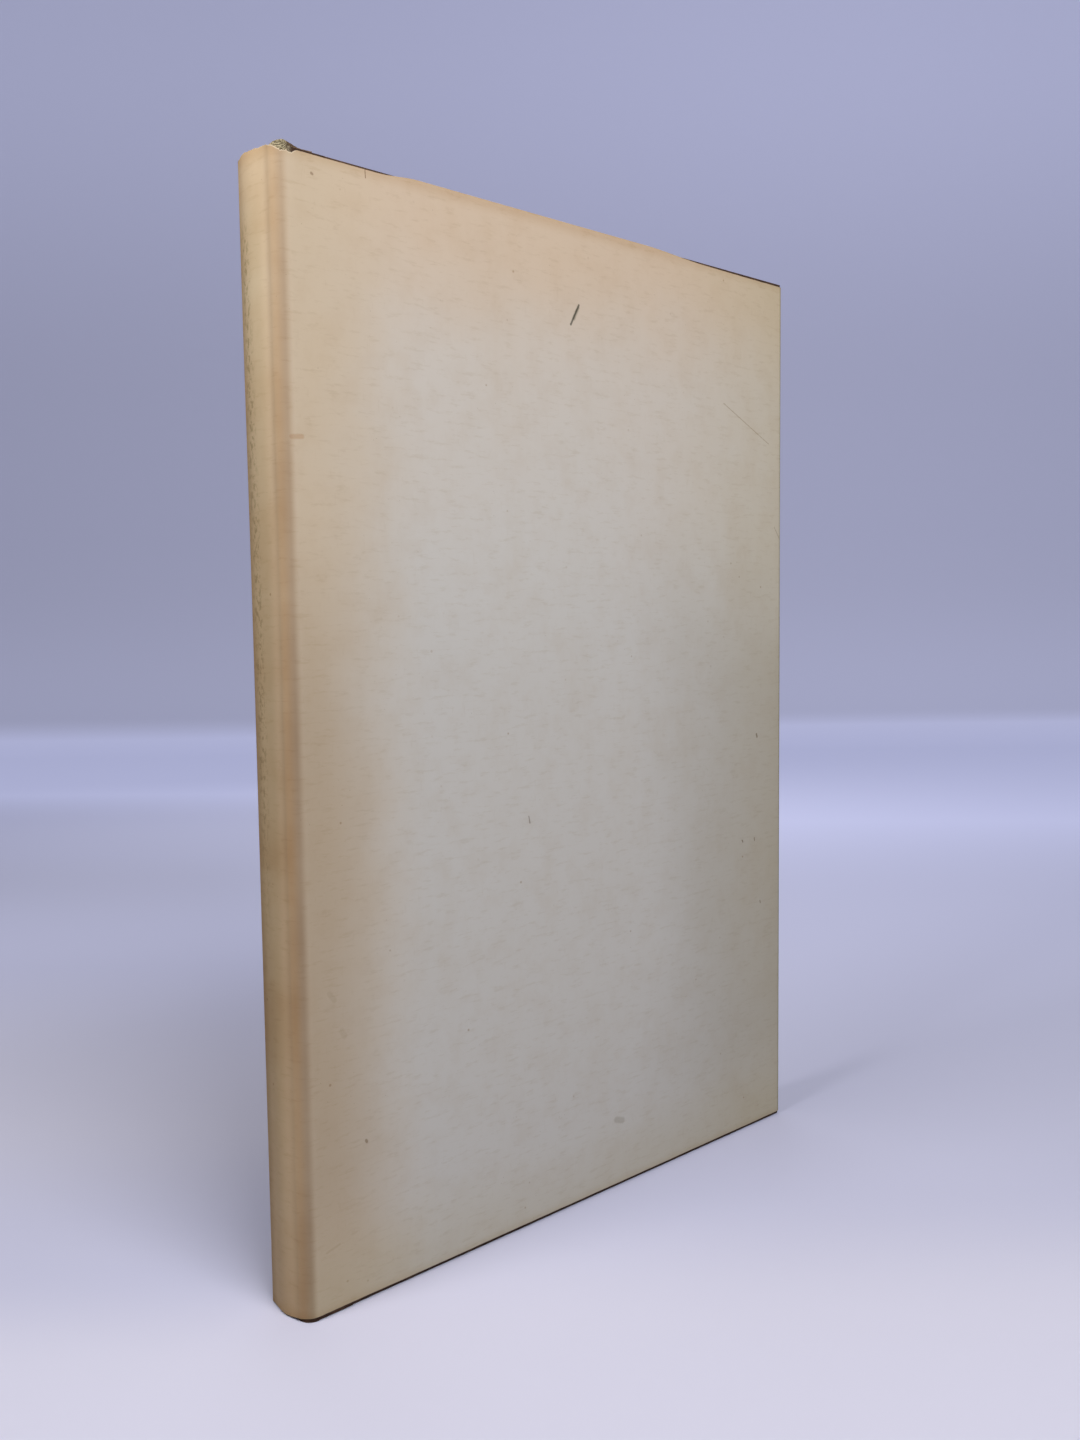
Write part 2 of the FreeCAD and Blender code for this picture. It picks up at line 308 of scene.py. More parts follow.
class Finish:
    """One node-built material."""

    def __init__(self, name):
        self.material = bpy.data.materials.new(name)
        self.material.use_nodes = True
        self.tree = self.material.node_tree
        self.tree.nodes.clear()

    def node(self, kind, settings=None, inputs=None, output=0):
        """Adds a node, sets its settings and then its sockets' values or links, and gives
        one of its outputs."""
        made = self.tree.nodes.new("ShaderNode" + kind)
        for key, value in (settings or {}).items():
            setattr(made, key, value)
        for key, value in (inputs or {}).items():
            if isinstance(value, Amount):
                self.tree.links.new(value.socket, made.inputs[key])
            else:
                made.inputs[key].default_value = value
        return Amount(self, made.outputs[output]) if made.outputs else None

    def math(self, operation, first, second=0.0):
        """A sum on values."""
        return self.node("Math", {"operation": operation}, {0: first, 1: second})

    def vector(self, operation, first, second=None, output=0):
        """A sum on vectors. Output 1 is its value, as of a length."""
        inputs = {0: first} if second is None else {0: first, 1: second}
        return self.node("VectorMath", {"operation": operation}, inputs, output)

    def rise(self, value, low, high):
        """0 below low and 1 above high, with a smooth step between."""
        settings = {"interpolation_type": "SMOOTHSTEP"}
        inputs = {"Value": value, "From Min": low, "From Max": high}
        if low > high:
            inputs.update({"From Min": high, "From Max": low, "To Min": 1.0, "To Max": 0.0})
        return self.node("MapRange", settings, inputs)

    def mix(self, share, first, second):
        """Colour that goes from the first to the second as the share goes from 0 to 1."""
        inputs = {0: share, 6: first, 7: second}
        return self.node("Mix", {"data_type": "RGBA"}, inputs, 2)

    def tint(self, share, base, factor):
        """The base colour, multiplied by the factor where the share is 1."""
        settings = {"data_type": "RGBA", "blend_type": "MULTIPLY"}
        return self.node("Mix", settings, {0: share, 6: base, 7: factor}, 2)

    def tints(self, color, *layers):
        """The colour under several tints, each given as a share and a factor."""
        for share, factor in layers:
            color = self.tint(share, color, factor)
        return color

    def noise(self, place, scale, detail=2.0, roughness=0.5, stretch=(1, 1, 1), shift=0.0):
        """Cloudy noise with a mean of about a half. Scale is in waves per metre."""
        mapping = {"Vector": place, "Location": (shift, shift, shift), "Scale": stretch}
        moved = self.node("Mapping", {}, mapping)
        inputs = {"Vector": moved, "Scale": scale, "Detail": detail, "Roughness": roughness}
        return self.node("TexNoise", {}, inputs)

    def cells(self, place, scale):
        """Distance to the nearest of scattered points."""
        return self.node("TexVoronoi", {}, {"Vector": place, "Scale": scale})

    def on_object(self):
        """Place on the piece."""
        return self.node("TexCoord", {}, output=3)

    def axes(self, place):
        """The three parts of a vector."""
        split = self.node("SeparateXYZ", {}, {0: place})
        sockets = split.socket.node.outputs
        return [Amount(self, sockets[i]) for i in range(3)]

    def stroke(self, place, start, end, width, rough=0.0):
        """1 on a line drawn from start to end on the sheet, 0 beyond half its width."""
        first = (start[0] * MM, start[1] * MM, 0.0)
        run = Vector(((end[0] - start[0]) * MM, (end[1] - start[1]) * MM, 0.0))
        offset = self.vector("SUBTRACT", place, first)
        share = self.vector("DOT_PRODUCT", offset, tuple(run / run.length_squared), 1)
        share = self.node("Clamp", {}, {"Value": share})
        back = self.node("VectorMath", {"operation": "SCALE"}, {0: tuple(run), "Scale": share})
        distance = self.vector("LENGTH", self.vector("SUBTRACT", offset, back), output=1)
        return self.rise(distance + rough, width * MM / 2, width * MM / 5)

    def bump(self, height, distance, strength=1.0, normal=None):
        """Normal of a surface that is raised by the height times the distance."""
        inputs = {"Height": height, "Distance": distance, "Strength": strength}
        if normal is not None:
            inputs["Normal"] = normal
        return self.node("Bump", {}, inputs)

    def surface(self, color, roughness, normal=None, shine=0.5, **fixed):
        """Ends the material in a Principled surface."""
        inputs = {"Base Color": color, "Roughness": roughness, "Specular IOR Level": shine}
        inputs.update(fixed)
        if normal is not None:
            inputs["Normal"] = normal
        shader = self.node("BsdfPrincipled", {}, inputs)
        self.node("OutputMaterial", {}, {"Surface": shader})
        return self.material


def headings(yaw):
    """Level directions ahead of the camera and to its right."""
    return (math.sin(yaw), math.cos(yaw), 0.0), (math.cos(yaw), -math.sin(yaw), 0.0)


def linear(red, green, blue):
    """Colour written as a screen shows it, 0 to 255, as light amounts."""
    parts = [c / 255 for c in (red, green, blue)]
    return (*[c / 12.92 if c <= 0.04045 else ((c + 0.055) / 1.055) ** 2.4 for c in parts], 1.0)


def gray(share):
    """The same factor for red, green and blue."""
    return (share, share, share, 1.0)


def opaque(color):
    """A setting's colour, with full cover."""
    return (*color[:], 1)


# Marks on the front cover: start and end as (along, height) in millimetres, width in
# millimetres, colour factor as a screen shows it, and strength
MARKS = {
    "ink tick": ((80.9, 217.1), (78.2, 212.3), 0.75, (82, 88, 76), 0.8),
    "ink tail": ((80.6, 216.4), (79.2, 213.8), 1.3, (150, 152, 136), 0.5),
    "long scratch": ((134.5, 200.1), (153.9, 191.2), 0.35, (196, 182, 158), 0.65),
    "head spot": ((8.1, 230.8), (8.3, 230.7), 0.8, (150, 122, 98), 0.6),
    "head crease": ((20.75, 234.8), (20.85, 232.7), 0.3, (150, 120, 92), 0.75),
    "small tick": ((63.0, 98.2), (63.3, 96.6), 0.5, (168, 158, 146), 0.75),
    "tail smudge": ((91.5, 17.6), (93.8, 16.8), 2.2, (176, 168, 152), 0.35),
    "low spot": ((15.6, 34.8), (15.8, 34.4), 0.9, (166, 148, 122), 0.7),
    "low slant": ((5.2, 13.8), (8.4, 14.6), 0.7, (196, 176, 150), 0.2),
    "spine smudge": ((7.4, 68.0), (8.6, 66.4), 1.6, (190, 172, 150), 0.16),
    "lower spine smudge": ((10.2, 59.6), (10.9, 58.4), 1.8, (190, 172, 150), 0.16),
    "fore scratch": ((156.6, 168.6), (158.9, 165.6), 0.3, (170, 150, 126), 0.6),
    "fold stain": ((2.2, 179.8), (4.4, 180.0), 1.4, (218, 178, 142), 0.4),
    "fore spot, upper": ((148.6, 111.4), (148.9, 110.6), 0.8, (150, 128, 102), 0.7),
    "fore spot, inner": ((142.4, 82.4), (142.7, 81.9), 0.6, (150, 128, 102), 0.7),
    "fore spot, outer": ((147.8, 82.4), (147.9, 81.7), 0.5, (150, 128, 102), 0.7),
    "fore spot, lower": ((150.4, 64.3), (150.6, 63.6), 0.5, (150, 128, 102), 0.7),
}


def jacket_finish(settings):
    """Toned uncoated wrapper paper. It is pale and cool in the middle of the covers, warm
    towards their edges, tanned and with painted shade along the spine's corners, darker
    low down and along the fore fold with painted shade, and marked by handling."""
    finish = Finish("toned_jacket_paper")
    place = finish.node("UVMap", {"uv_map": "sheet"})
    along, height, _ = finish.axes(place)
    from_spine = spine_distance(along)
    from_fore = abs(from_spine - COVER_WIDTH)

    # Warmer towards the edges of the covers
    drift = (finish.noise(place, 22, 4, 0.55) - 0.5) * (36 * MM)
    depth = Z_HEAD - height
    near_spine = finish.rise(from_spine + drift * 0.6, 35 * MM, 4 * MM) * 0.9
    near_fore = finish.rise(from_fore + drift, 60 * MM, -30 * MM) * 0.78
    near_head = finish.rise(depth + drift * 0.7, 40 * MM, 0.0) * 0.52
    near_head = near_head + finish.rise(depth + drift * 1.4, 95 * MM, 5 * MM) * 0.42
    near_tail = finish.rise(height + drift * 0.6, 24 * MM, -4 * MM) * 0.42

    color = finish.mix(near_head, opaque(settings.paper_middle), opaque(settings.paper_head))
    color = finish.mix(near_spine, color, opaque(settings.paper_spine_side))
    color = finish.mix(near_fore, color, opaque(settings.paper_fore_side))
    color = finish.mix(near_tail, color, opaque(settings.paper_fore_side))

    # Painted shade low down, where less light falls, deepest beside the spine and the fore edge
    low_painted_shade = finish.rise(height + drift, 172 * MM, 118 * MM)
    low_painted_shade = low_painted_shade * (0.3 + finish.rise(height, 2 * MM, 34 * MM) * 0.7)
    low_shade_by_spine = finish.rise(from_spine + drift * 0.3, 27 * MM, 5 * MM) * low_painted_shade
    low_shade_by_fore = finish.rise(from_fore + drift * 0.8, 66 * MM, 22 * MM) * low_painted_shade
    color = finish.tints(
        color,
        (low_shade_by_spine, (0.85, 0.83, 0.81, 1)),
        (low_shade_by_fore, gray(0.885)),
        (low_painted_shade, gray(0.965)),
    )

    # Spine, paler towards its head
    on_spine = finish.rise(from_spine, 1.6 * MM, -0.6 * MM)
    towards_spine_head = finish.rise(height + drift * 0.5, 95 * MM, 226 * MM)
    tone = finish.mix(towards_spine_head, opaque(settings.paper_spine), opaque(settings.paper_spine_head))
    color = finish.mix(on_spine, color, tone)
    band = finish.noise(place, 26, 3, 0.6, (0.4, 1, 1), 3.1)
    color = finish.tint(on_spine * finish.rise(band, 0.45, 0.75), color, linear(238, 228, 214))
    # Painted shade over the rear part of the spine, fading out towards its foot and its head
    shaded = finish.rise(along, -2.0 * MM, -6.0 * MM) * finish.rise(height, -20 * MM, 70 * MM)
    shaded = shaded * finish.rise(height, 240 * MM, 214 * MM)
    color = finish.tint(on_spine * shaded, color, linear(237, 238, 233))

    # Stripe along both corners of the spine: tanned paper, and painted shade on the rounded
    # corner
    wander = (finish.noise(place, 30, 3, 0.5, (0.2, 1, 1), 7.7) - 0.5) * (1.6 * MM)
    stripe = finish.rise(from_spine + wander, -3.6 * MM, 0.8 * MM)
    stripe = stripe * finish.rise(from_spine, 3.1 * MM, 1.3 * MM)
    uneven = finish.rise(finish.noise(place, 34, 3, 0.6, (0.3, 1, 1), 1.9), 0.2, 0.75)
    color = finish.tint(stripe * (0.62 + uneven * 0.38), color, opaque(settings.stripe_factor))

    # Warm lines at head and tail, and painted shade along the fore fold
    edge_line = finish.rise(finish.math("MINIMUM", height, depth), 3.2 * MM, 0.0) * 0.5
    painted_fold_shade = finish.rise(from_fore, 1.4 * MM, 0.4 * MM) * 0.9
    color = finish.tint(edge_line, color, linear(232, 214, 186))
    color = finish.tint(painted_fold_shade, color, linear(186, 185, 160))

    # Mottling, fibres and foxing
    mottle = finish.noise(place, 140, 5, 0.62)
    streaks = finish.noise(place, 60, 4, 0.6, (1, 0.35, 1))
    fibre = finish.noise(place, 900, 3, 0.7, (0.22, 1, 1))
    cross_fibre = finish.noise(place, 900, 3, 0.7, (1, 0.22, 1), 5.0)
    rarity = finish.noise(place, 55, 2, 0.5, (1, 1, 1), 11.0)
    spots = finish.rise(finish.cells(place, 190), 0.075, 0.03) * finish.rise(rarity, 0.5, 0.62)
    specks = finish.rise(finish.cells(place, 520), 0.06, 0.03) * finish.rise(rarity, 0.47, 0.6)
    color = finish.tints(
        color,
        (finish.rise(mottle, 0.42, 0.72) * 0.3, linear(242, 235, 226)),
        (finish.rise(streaks, 0.5, 0.78) * 0.3, linear(244, 236, 224)),
        (finish.rise(fibre, 0.52, 0.7) * 0.28, linear(226, 217, 202)),
        (finish.rise(cross_fibre, 0.6, 0.75) * 0.16, linear(226, 216, 200)),
        (spots * 0.55, linear(188, 160, 124)),
        (specks * 0.5, linear(150, 128, 100)),
    )

    # Rubbed rear corner of the spine
    soil = finish.noise(place, 420, 4, 0.75, (1, 0.6, 1), 2.3)
    grit = finish.noise(place, 1000, 3, 0.7, (1, 0.6, 1), 8.3)
    rear_edge = finish.rise(abs(along - REAR_EDGE), 2.6 * MM, 0.4 * MM)
    worn = rear_edge * finish.rise(grit, 0.48, 0.62) * finish.rise(height, 60 * MM, 130 * MM)
    worn = worn * finish.rise(height, 229 * MM, 215 * MM)
    color = finish.tint(worn * 0.6, color, linear(176, 172, 140))

    # Marks of handling, with ragged outlines
    rough = (finish.noise(place, 1500, 2, 0.6) - 0.5) * (0.25 * MM)
    for start, end, width, factor, strength in MARKS.values():
        mask = finish.stroke(place, start, end, width, rough) * strength
        color = finish.tint(mask, color, linear(*factor))

    # Sheltered flaps, and the pale core of the paper at torn edges
    on_flap = finish.rise(from_spine, COVER_WIDTH + 1 * MM, COVER_WIDTH + 3 * MM)
    color = finish.mix(on_flap * 0.55, color, opaque(settings.paper_flap))
    torn = finish.node("Attribute", {"attribute_name": "torn"}, output=2)
    ragged = finish.rise(torn + (soil - 0.5) * 0.9, 0.45, 0.75)
    color = finish.mix(ragged * 0.75, color, linear(224, 208, 182))

    grain = finish.noise(place, 2600, 3, 0.6) + fibre * 0.6
    normal = finish.bump(grain, 0.018 * MM, 0.6)
    normal = finish.bump(mottle, 0.05 * MM, 0.5, normal)
    roughness = 0.66 + (mottle - 0.5) * 0.22
    return finish.surface(color, roughness, normal, 0.32)


def cloth_finish(settings):
    """Plain-woven book cloth: two crossing sets of threads, rubbed paler on the high spots."""
    finish = Finish("brown_book_cloth")
    place = finish.on_object()
    x, y, z = finish.axes(place)
    turn = 2 * math.pi / settings.thread_pitch
    across = finish.math("SINE", (x + y) * turn)
    upright = finish.math("SINE", z * turn)
    weave = across * upright
    threads = finish.math("MAXIMUM", abs(across), abs(upright))
    soil = finish.noise(place, 700, 4, 0.7)
    rub = finish.rise(finish.noise(place, 260, 3, 0.6) + weave * 0.1, 0.45, 0.8)
    color = finish.mix(rub * 0.55, opaque(settings.cloth), opaque(settings.cloth_rubbed))
    color = finish.tint(finish.rise(soil, 0.45, 0.7) * 0.6, color, gray(0.6))
    bared = finish.rise(z, Z_HEAD - 4 * MM, Z_HEAD - 2 * MM) * finish.rise(y, -1 * MM, -3 * MM)
    bared = bared * finish.rise(x, X_SPINE + 4.2 * MM, X_SPINE + 2.6 * MM)
    bared = bared * finish.rise(soil, 0.35, 0.6)
    color = finish.mix(bared, color, opaque(settings.cloth_faded))
    normal = finish.bump(weave + threads * 0.5, 0.06 * MM, 0.8)
    return finish.surface(color, 0.82 + (soil - 0.5) * 0.2, normal, 0.25)


def worn_cloth_finish(settings):
    """The same cloth where the jacket is torn away: faded, olive-grey and flecked."""
    finish = Finish("rubbed_book_cloth")
    place = finish.on_object()
    x, y, z = finish.axes(place)
    turn = 2 * math.pi / settings.thread_pitch
    weave = finish.math("SINE", (x + y) * turn) * finish.math("SINE", z * turn)
    flecks = finish.noise(place, 1900, 4, 0.75)
    patches = finish.noise(place, 420, 3, 0.6, (1, 1, 1), 4.0)
    fade = finish.rise(flecks + weave * 0.08, 0.4, 0.62)
    color = finish.mix(fade, opaque(settings.cloth_faded_dark), opaque(settings.cloth_faded))
    patched = finish.rise(patches, 0.52, 0.7) * 0.35
    color = finish.mix(patched, color, opaque(settings.cloth_faded_dark))
    unfaded = finish.rise(x + (patches - 0.5) * (2 * MM), X_SPINE + 2.4 * MM, X_SPINE + 3.8 * MM)
    browned = finish.mix(fade, opaque(settings.cloth), opaque(settings.cloth_rubbed))
    color = finish.mix(unfaded * 0.8, color, browned)
    normal = finish.bump(weave + flecks, 0.1 * MM, 0.9)
    return finish.surface(color, 0.9, normal, 0.2)


def leaves_finish(settings):
    """Paper seen on edge: fine uneven lines of shade across the thickness."""
    finish = Finish("trimmed_leaves")
    place = finish.on_object()
    lines = finish.noise(place, 1000, 3, 0.7, (0.02, 8.0, 0.02))
    cloud = finish.noise(place, 40, 4, 0.6)
    shade = finish.rise(lines, 0.35, 0.7)
    color = finish.mix(shade, opaque(settings.leaf), opaque(settings.leaf_shade))
    color = finish.tint(finish.rise(cloud, 0.45, 0.75) * 0.6, color, linear(238, 222, 196))
    speck = finish.rise(finish.cells(place, 420), 0.1, 0.04)
    color = finish.tint(speck * 0.4, color, linear(190, 160, 124))
    normal = finish.bump(lines, 0.03 * MM, 0.6)
    return finish.surface(color, 0.85, normal, 0.25)


def endpaper_finish(name, settings, foxing):
    """Smooth uncoated sheet that is a little darker at its edges, with a few rust spots."""
    finish = Finish(name)
    place = finish.on_object()
    x, _, z = finish.axes(place)
    cloud = finish.noise(place, 30, 4, 0.6)
    drift = (cloud - 0.5) * (20 * MM)
    end = finish.math("MINIMUM", z - BLOCK_LOW.z, BLOCK_HIGH.z - z)
    edge = finish.math("MINIMUM", end, BLOCK_HIGH.x - x)
    near_edge = finish.rise(edge + drift, 16 * MM, 0.0)
    color = finish.mix(near_edge, opaque(settings.endpaper), opaque(settings.endpaper_edge))
    fibre = finish.noise(place, 1000, 3, 0.7, (1, 1, 0.25))
    color = finish.tint(finish.rise(fibre, 0.55, 0.75) * 0.35, color, linear(228, 220, 204))
    spots = finish.rise(finish.cells(place, 120), 0.1, 0.03) * finish.rise(cloud, 0.5, 0.6)
    color = finish.tint(spots * foxing, color, linear(196, 160, 118))
    normal = finish.bump(fibre, 0.015 * MM, 0.5)
    return finish.surface(color, 0.78 + (fibre - 0.5) * 0.1, normal, 0.3)


def board_finish():
    """Grey-brown pressed board with pulp flecks and faint layers at its cut edges."""
    finish = Finish("pressed_board")
    place = finish.on_object()
    flecks = finish.noise(place, 900, 4, 0.7)
    layers = finish.noise(place, 400, 2, 0.5, (0.05, 6.0, 0.05))
    pulp = finish.rise(flecks, 0.35, 0.7)
    color = finish.mix(pulp, linear(158, 146, 128), linear(126, 114, 98))
    color = finish.tint(finish.rise(layers, 0.45, 0.7) * 0.5, color, gray(0.8))
    normal = finish.bump(flecks + layers, 0.05 * MM, 0.6)
    return finish.surface(color, 0.9, normal)


def gauze_finish():
    """Open starched gauze: pale threads with darker gaps between them."""
    finish = Finish("starched_gauze")
    place = finish.on_object()
    x, y, z = finish.axes(place)
    turn = 2 * math.pi / GAUZE_PITCH
    across = finish.math("SINE", (x + y) * turn)
    threads = finish.math("MAXIMUM", across, finish.math("SINE", z * turn))
    closed = finish.rise(threads, 0.2, 0.8)
    color = finish.mix(closed, linear(150, 132, 104), linear(222, 214, 194))
    normal = finish.bump(threads, 0.08 * MM, 0.8)
    return finish.surface(color, 0.9, normal)


def lining_finish():
    """Ribbed brown wrapping paper."""
    finish = Finish("brown_lining_paper")
    place = finish.on_object()
    ribs = finish.noise(place, 300, 3, 0.6, (1, 1, 0.05))
    ribbed = finish.rise(ribs, 0.3, 0.7)
    color = finish.mix(ribbed, linear(176, 146, 108), linear(150, 120, 84))
    return finish.surface(color, 0.8, finish.bump(ribs, 0.03 * MM, 0.6))


def band_finish(settings):
    """Wound thread, cream with a soft shade between turns."""
    finish = Finish("wound_thread")
    place = finish.on_object()
    _, y, _ = finish.axes(place)
    turns = finish.math("SINE", y * (2 * math.pi / settings.band_pitch))
    fuzz = finish.noise(place, 2200, 3, 0.7)
    lit = finish.rise(turns + fuzz, 0.1, 1.0)
    color = finish.mix(lit, linear(150, 132, 104), linear(222, 210, 184))
    return finish.surface(color, 0.75, finish.bump(fuzz, 0.04 * MM, 0.6))


def stage_finish(settings):
    """Matte pale sweep behind and under the book. Towards the back, where the lamps don't
    reach, a painted glow makes it look brighter to the camera only. A painted shadow darkens
    the floor about the book."""
    finish = Finish("pale_sweep")
    place = finish.on_object()
    _, _, height = finish.axes(place)
    seen = finish.node("LightPath")
    ahead, right = headings(settings.camera_yaw)
    depth = finish.vector("DOT_PRODUCT", place, ahead, 1)
    aside = finish.vector("DOT_PRODUCT", place, right, 1)
    # Share of the painted glow: it grows towards the back, is weaker on the backdrop than on the
    # floor, and a little stronger to the right
    wall = finish.rise(height, 0.0, 0.035) * 0.52 + finish.rise(height, 0.03, 0.2) * 0.08
    wall = wall - finish.rise(height, 0.42, 0.85) * 0.2
    back = finish.rise(depth, -0.03, 0.32) * 0.4 + finish.rise(depth, 0.25, 0.8) * 0.675
    back = back * (1.16 - wall) * (0.92 + finish.rise(aside, -0.5, 0.5) * 0.16)
    leftward = finish.rise(aside, 0.0, -0.09)
    # Painted shade: less of the glow on the floor far to the left
    far_left = finish.rise(aside, 0.02, -0.2) * finish.rise(depth, 0.22, 0.42)
    far_left = far_left * finish.rise(depth, 0.85, 0.6) * finish.rise(height, 0.03, 0.0)
    back = back * (1 - far_left * 0.38)
    cloud = finish.noise(place, 1.3, 2, 0.5)
    color = finish.mix(cloud * 0.2, opaque(settings.sweep), opaque(settings.sweep_shade))
    # Painted shadow on the floor from just before the book backwards, shaped apart on its left
    # and right
    right_floor = finish.rise(depth, -0.06, 0.0)
    left_floor = finish.rise(depth, -0.075, -0.035) * (1 - finish.rise(depth, -0.02, 0.05) * 0.8)
    left_floor = left_floor + finish.rise(depth, 0.08, 0.25) * 0.9
    painted_floor_shadow = (right_floor * (1 - leftward) + left_floor * leftward) * finish.rise(height, 0.03, 0)
    color = finish.tint(painted_floor_shadow, color, linear(238, 240, 247))
    # The sweep is darker to bounced light than to the camera
    color = finish.tint(1 - seen, color, gray(0.45))
    # Painted glow, seen by the camera only
    glow = finish.mix(seen * back, (0, 0, 0, 1), opaque(settings.sweep_glow))
    glowing = {"Emission Color": glow, "Emission Strength": 1.0}
    return finish.surface(color, 0.9, shine=0.1, **glowing)


def screen_color(name, description, red, green, blue):
    """Setting for a colour whose default is given as a screen shows it."""
    return bpy.props.FloatVectorProperty(
        name=name, description=description, subtype="COLOR",
        default=linear(red, green, blue)[:3],
    )


def length(name, description, default):
    """Setting for a length."""
    return bpy.props.FloatProperty(
        name=name, description=description, default=default, unit="LENGTH"
    )


def power(name, description, default):
    """Setting for the power of a lamp."""
    return bpy.props.FloatProperty(
        name=name, description=description, default=default, unit="POWER"
    )


def bearing(name, description, degrees):
    """Setting for an angle, given in degrees."""
    return bpy.props.FloatProperty(
        name=name, description=description, default=math.radians(degrees), subtype="ANGLE"
    )


class JacketSettings(bpy.types.PropertyGroup):
    """Shape and colours of the paper jacket."""

    cockle: length("Cockle", "How far the paper stands off in soft waves", 0.14 * MM)
    spine_bow: length("Spine bow", "How far the paper bows out over the spine", 0.8 * MM)
    head_wave: length("Head wave", "Rise of the head edge in the middle of a cover", 0.78 * MM)
    chip_depth: length("Chip depth", "Depth of the piece torn from the spine head", 0.62 * MM)
    paper_middle: screen_color("Middle", "Paper in the middle of a cover", 207, 204, 200)
    paper_head: screen_color("Head", "Paper towards the head", 210, 188, 164)
    paper_spine_side: screen_color("Spine side", "Cover paper beside the spine", 206, 187, 161)
    paper_fore_side: screen_color("Fore side", "Cover paper beside the fore edge", 193, 181, 152)
    paper_spine: screen_color("Spine", "Paper on the spine", 206, 180, 146)
    paper_spine_head: screen_color("Spine head", "Paper at the head of the spine", 229, 208, 178)
    paper_flap: screen_color("Flap", "Paper of the sheltered flaps", 224, 214, 192)
    # The stripe is tanned paper and painted shade on the spine's rounded corners
    stripe_factor: bpy.props.FloatVectorProperty(
        name="Stripe", description="Factor of the tanned stripe on a spine corner",
        subtype="COLOR", default=(0.6, 0.52, 0.45),
    )


class ClothSettings(bpy.types.PropertyGroup):
    """Colours and weave of the book cloth."""

    thread_pitch: length("Thread pitch", "Distance from thread to thread", 0.42 * MM)
    cloth: screen_color("Cloth", "Unworn cloth", 66, 46, 36)
    cloth_rubbed: screen_color("Rubbed", "Cloth on its rubbed high spots", 122, 92, 70)
    cloth_faded: screen_color("Faded", "Cloth bared at the spine head", 190, 178, 148)
    cloth_faded_dark: screen_color("Faded shade", "Dark flecks of the bared cloth", 104, 94, 70)


class LeavesSettings(bpy.types.PropertyGroup):
    """Shape and colours of the text block and its bands."""

    leaf_pitch: length("Leaf pitch", "Thickness of one leaf", 0.13 * MM)
    leaf_relief: length("Leaf relief", "How unevenly the leaves' edges lie", 0.05 * MM)
    band_pitch: length("Band pitch", "Distance from turn to turn of a band's thread", 0.34 * MM)
    leaf: screen_color("Leaf", "Leaves' edges", 226, 214, 190)
    leaf_shade: screen_color("Leaf shade", "Shade between leaves", 186, 168, 138)
    endpaper: screen_color("Endpaper", "Endpapers", 228, 219, 199)
    endpaper_edge: screen_color("Endpaper edge", "Endpapers near their edges", 214, 196, 164)


class StageSettings(bpy.types.PropertyGroup):
    """Sweep, lamps and camera."""

    sweep: screen_color("Sweep", "Floor and backdrop", 214, 214, 235)
    sweep_shade: screen_color("Sweep shade", "Slow unevenness of the backdrop", 206, 207, 228)
    sweep_glow: bpy.props.FloatVectorProperty(
        name="Sweep glow", description="What the camera sees more of at the back",
        subtype="COLOR", default=(0.32, 0.34, 0.52),
    )
    key_power: power("Key power", "Power of the lamp over the book", 3.2)
    fill_power: power("Fill power", "Power of the lamp on the spine side", 1.0)
    back_power: power("Back power", "Power of the broad lamp behind the book", 0.95)
    world_strength: bpy.props.FloatProperty(
        name="World strength", description="Light from all around", default=0.11,
    )
    camera_place: bpy.props.FloatVectorProperty(
        name="Camera place", description="Where the camera stands", subtype="TRANSLATION",
        default=(-211.86 * MM, -221.65 * MM, 143.68 * MM),
    )
    camera_yaw: bearing("Camera yaw", "Heading, clockwise from the line across the book", 42.8)
    camera_pitch: bearing("Camera pitch", "Angle that the camera looks down", 4.544)
    camera_roll: bearing("Camera roll", "Lean of the camera", -0.68)
    camera_lens: bpy.props.FloatProperty(
        name="Camera lens", description="Focal length on a 36 mm long side", default=31.5,
    )


def jacket_head(along, settings):
    """Height of the jacket's head edge. It is level with a low rise in the middle of each
    cover, a fine unevenness, and chips at both corners of the spine."""
    from_spine = spine_distance(along)
    level = Z_HEAD - HEAD_DROP - 0.22 * MM * smooth(from_spine, 112 * MM, 156 * MM)
    rise = smooth(from_spine, 24 * MM, 34 * MM) * smooth(-from_spine, -126 * MM, -104 * MM)
    on_spine = smooth(-from_spine, -1.5 * MM, 1.0 * MM)
    height = level + settings.head_wave * np.maximum(rise, on_spine)
    periods = (3.1 * MM, 1.7 * MM, 0.83 * MM, 0.47 * MM)
    ragged = waves(along, periods, (0.3, 1.9, 4.0, 2.2))
    height = height + ragged * (0.03 + 0.12 * on_spine) * MM
    shallow = smooth(along, -2.6 * MM, -0.6 * MM) * smooth(-along, -5.0 * MM, -3.7 * MM)
    deep = smooth(along, 0.0, 2.2 * MM) * smooth(-along, -5.0 * MM, -3.5 * MM)
    chip = shallow * 0.5 + deep * 0.5
    height = height - chip * settings.chip_depth * (1 + 0.5 * ragged)
    rear_chip = hump(along, REAR_CHIP_MIDDLE, 1.6 * MM)
    return height - rear_chip * (0.5 + 0.4 * ragged) * MM


def jacket_tail(along):
    """Height of the jacket's tail edge, level with a slight unevenness. It sags almost to
    the foot of the book on the rear side of the spine."""
    sag = smooth(-along, -1.5 * MM, 5.5 * MM) * smooth(along, -30 * MM, -15 * MM)
    level = TAIL_LIFT - TAIL_SAG * sag
    return level + 0.03 * MM * waves(along, (41 * MM, 17 * MM, 2.3 * MM), (0.4, 2.0, 1.0))


